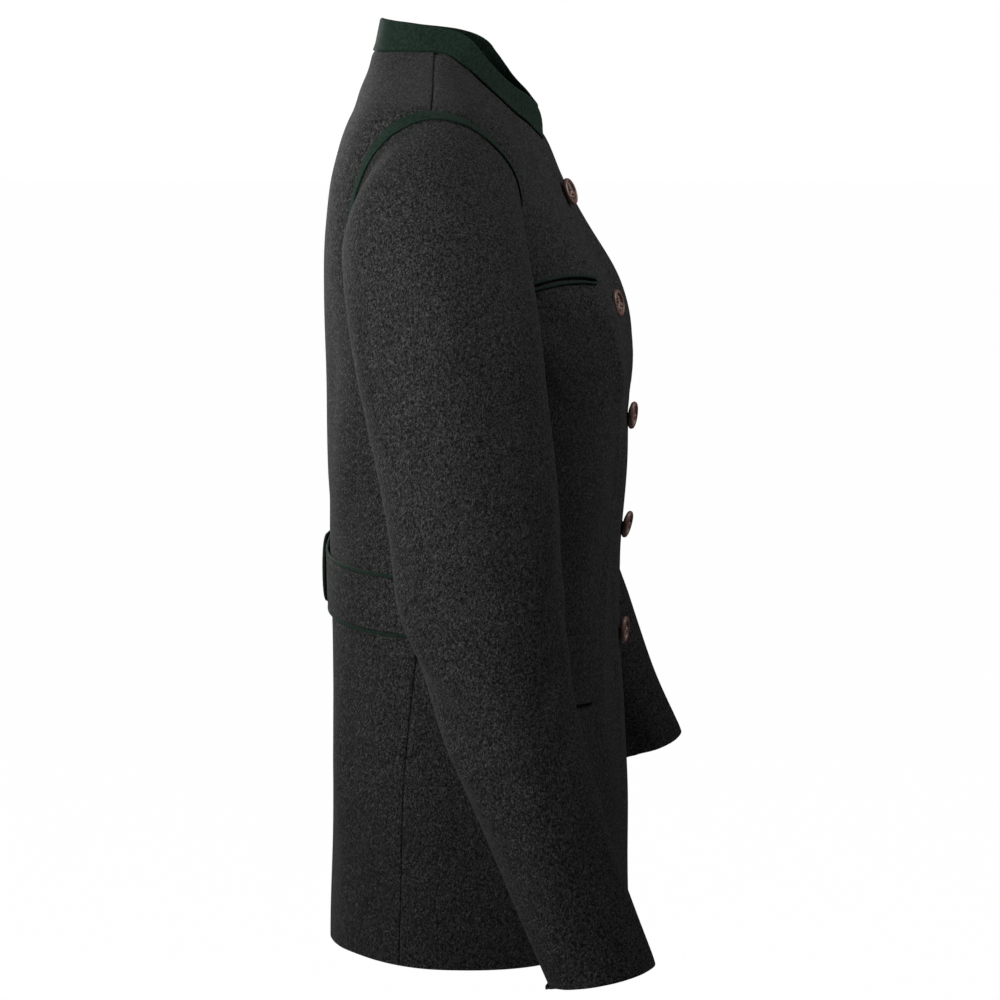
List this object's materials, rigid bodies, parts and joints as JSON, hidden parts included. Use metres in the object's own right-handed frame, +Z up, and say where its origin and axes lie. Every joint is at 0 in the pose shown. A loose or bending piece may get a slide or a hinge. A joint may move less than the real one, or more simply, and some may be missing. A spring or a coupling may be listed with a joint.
{
  "type": "tyrolean loden jacket",
  "caption": "Charcoal loden folk jacket with a green felt stand collar, flap pockets, a back half belt and antler buttons, filled out as it is worn.",
  "frame": {"origin": "inside the neck at the level of the shoulder line, midway between the shoulders, where the wearer's shoulders hold the jacket up", "axes": "+Z up; the wearer faces -Y, so the wearer's left side is at +X"},
  "size_m": [0.7526, 0.2697, 0.7131],
  "materials": {
    "loden": "dark charcoal melange loden with a soft nap",
    "green_felt": "dark green wool felt, also the piping",
    "antler": "satin carved antler"
  },
  "bodies": {
    "root": {"back": "loden", "front_right": "loden", "front_left": "loden", "sleeve_right": "loden", "sleeve_left": "loden", "hip_flap_right": "loden", "hip_flap_left": "loden", "belt_right": "loden", "belt_left": "loden", "collar": "green_felt", "armhole_band_right": "green_felt", "armhole_band_left": "green_felt", "chest_welt_right": "green_felt", "chest_welt_left": "green_felt", "belt_piping_right": "green_felt", "belt_piping_left": "green_felt", "button_1": "antler", "button_2": "antler", "button_3": "antler", "button_4": "antler", "button_5": "antler"}
  },
  "joints": []
}
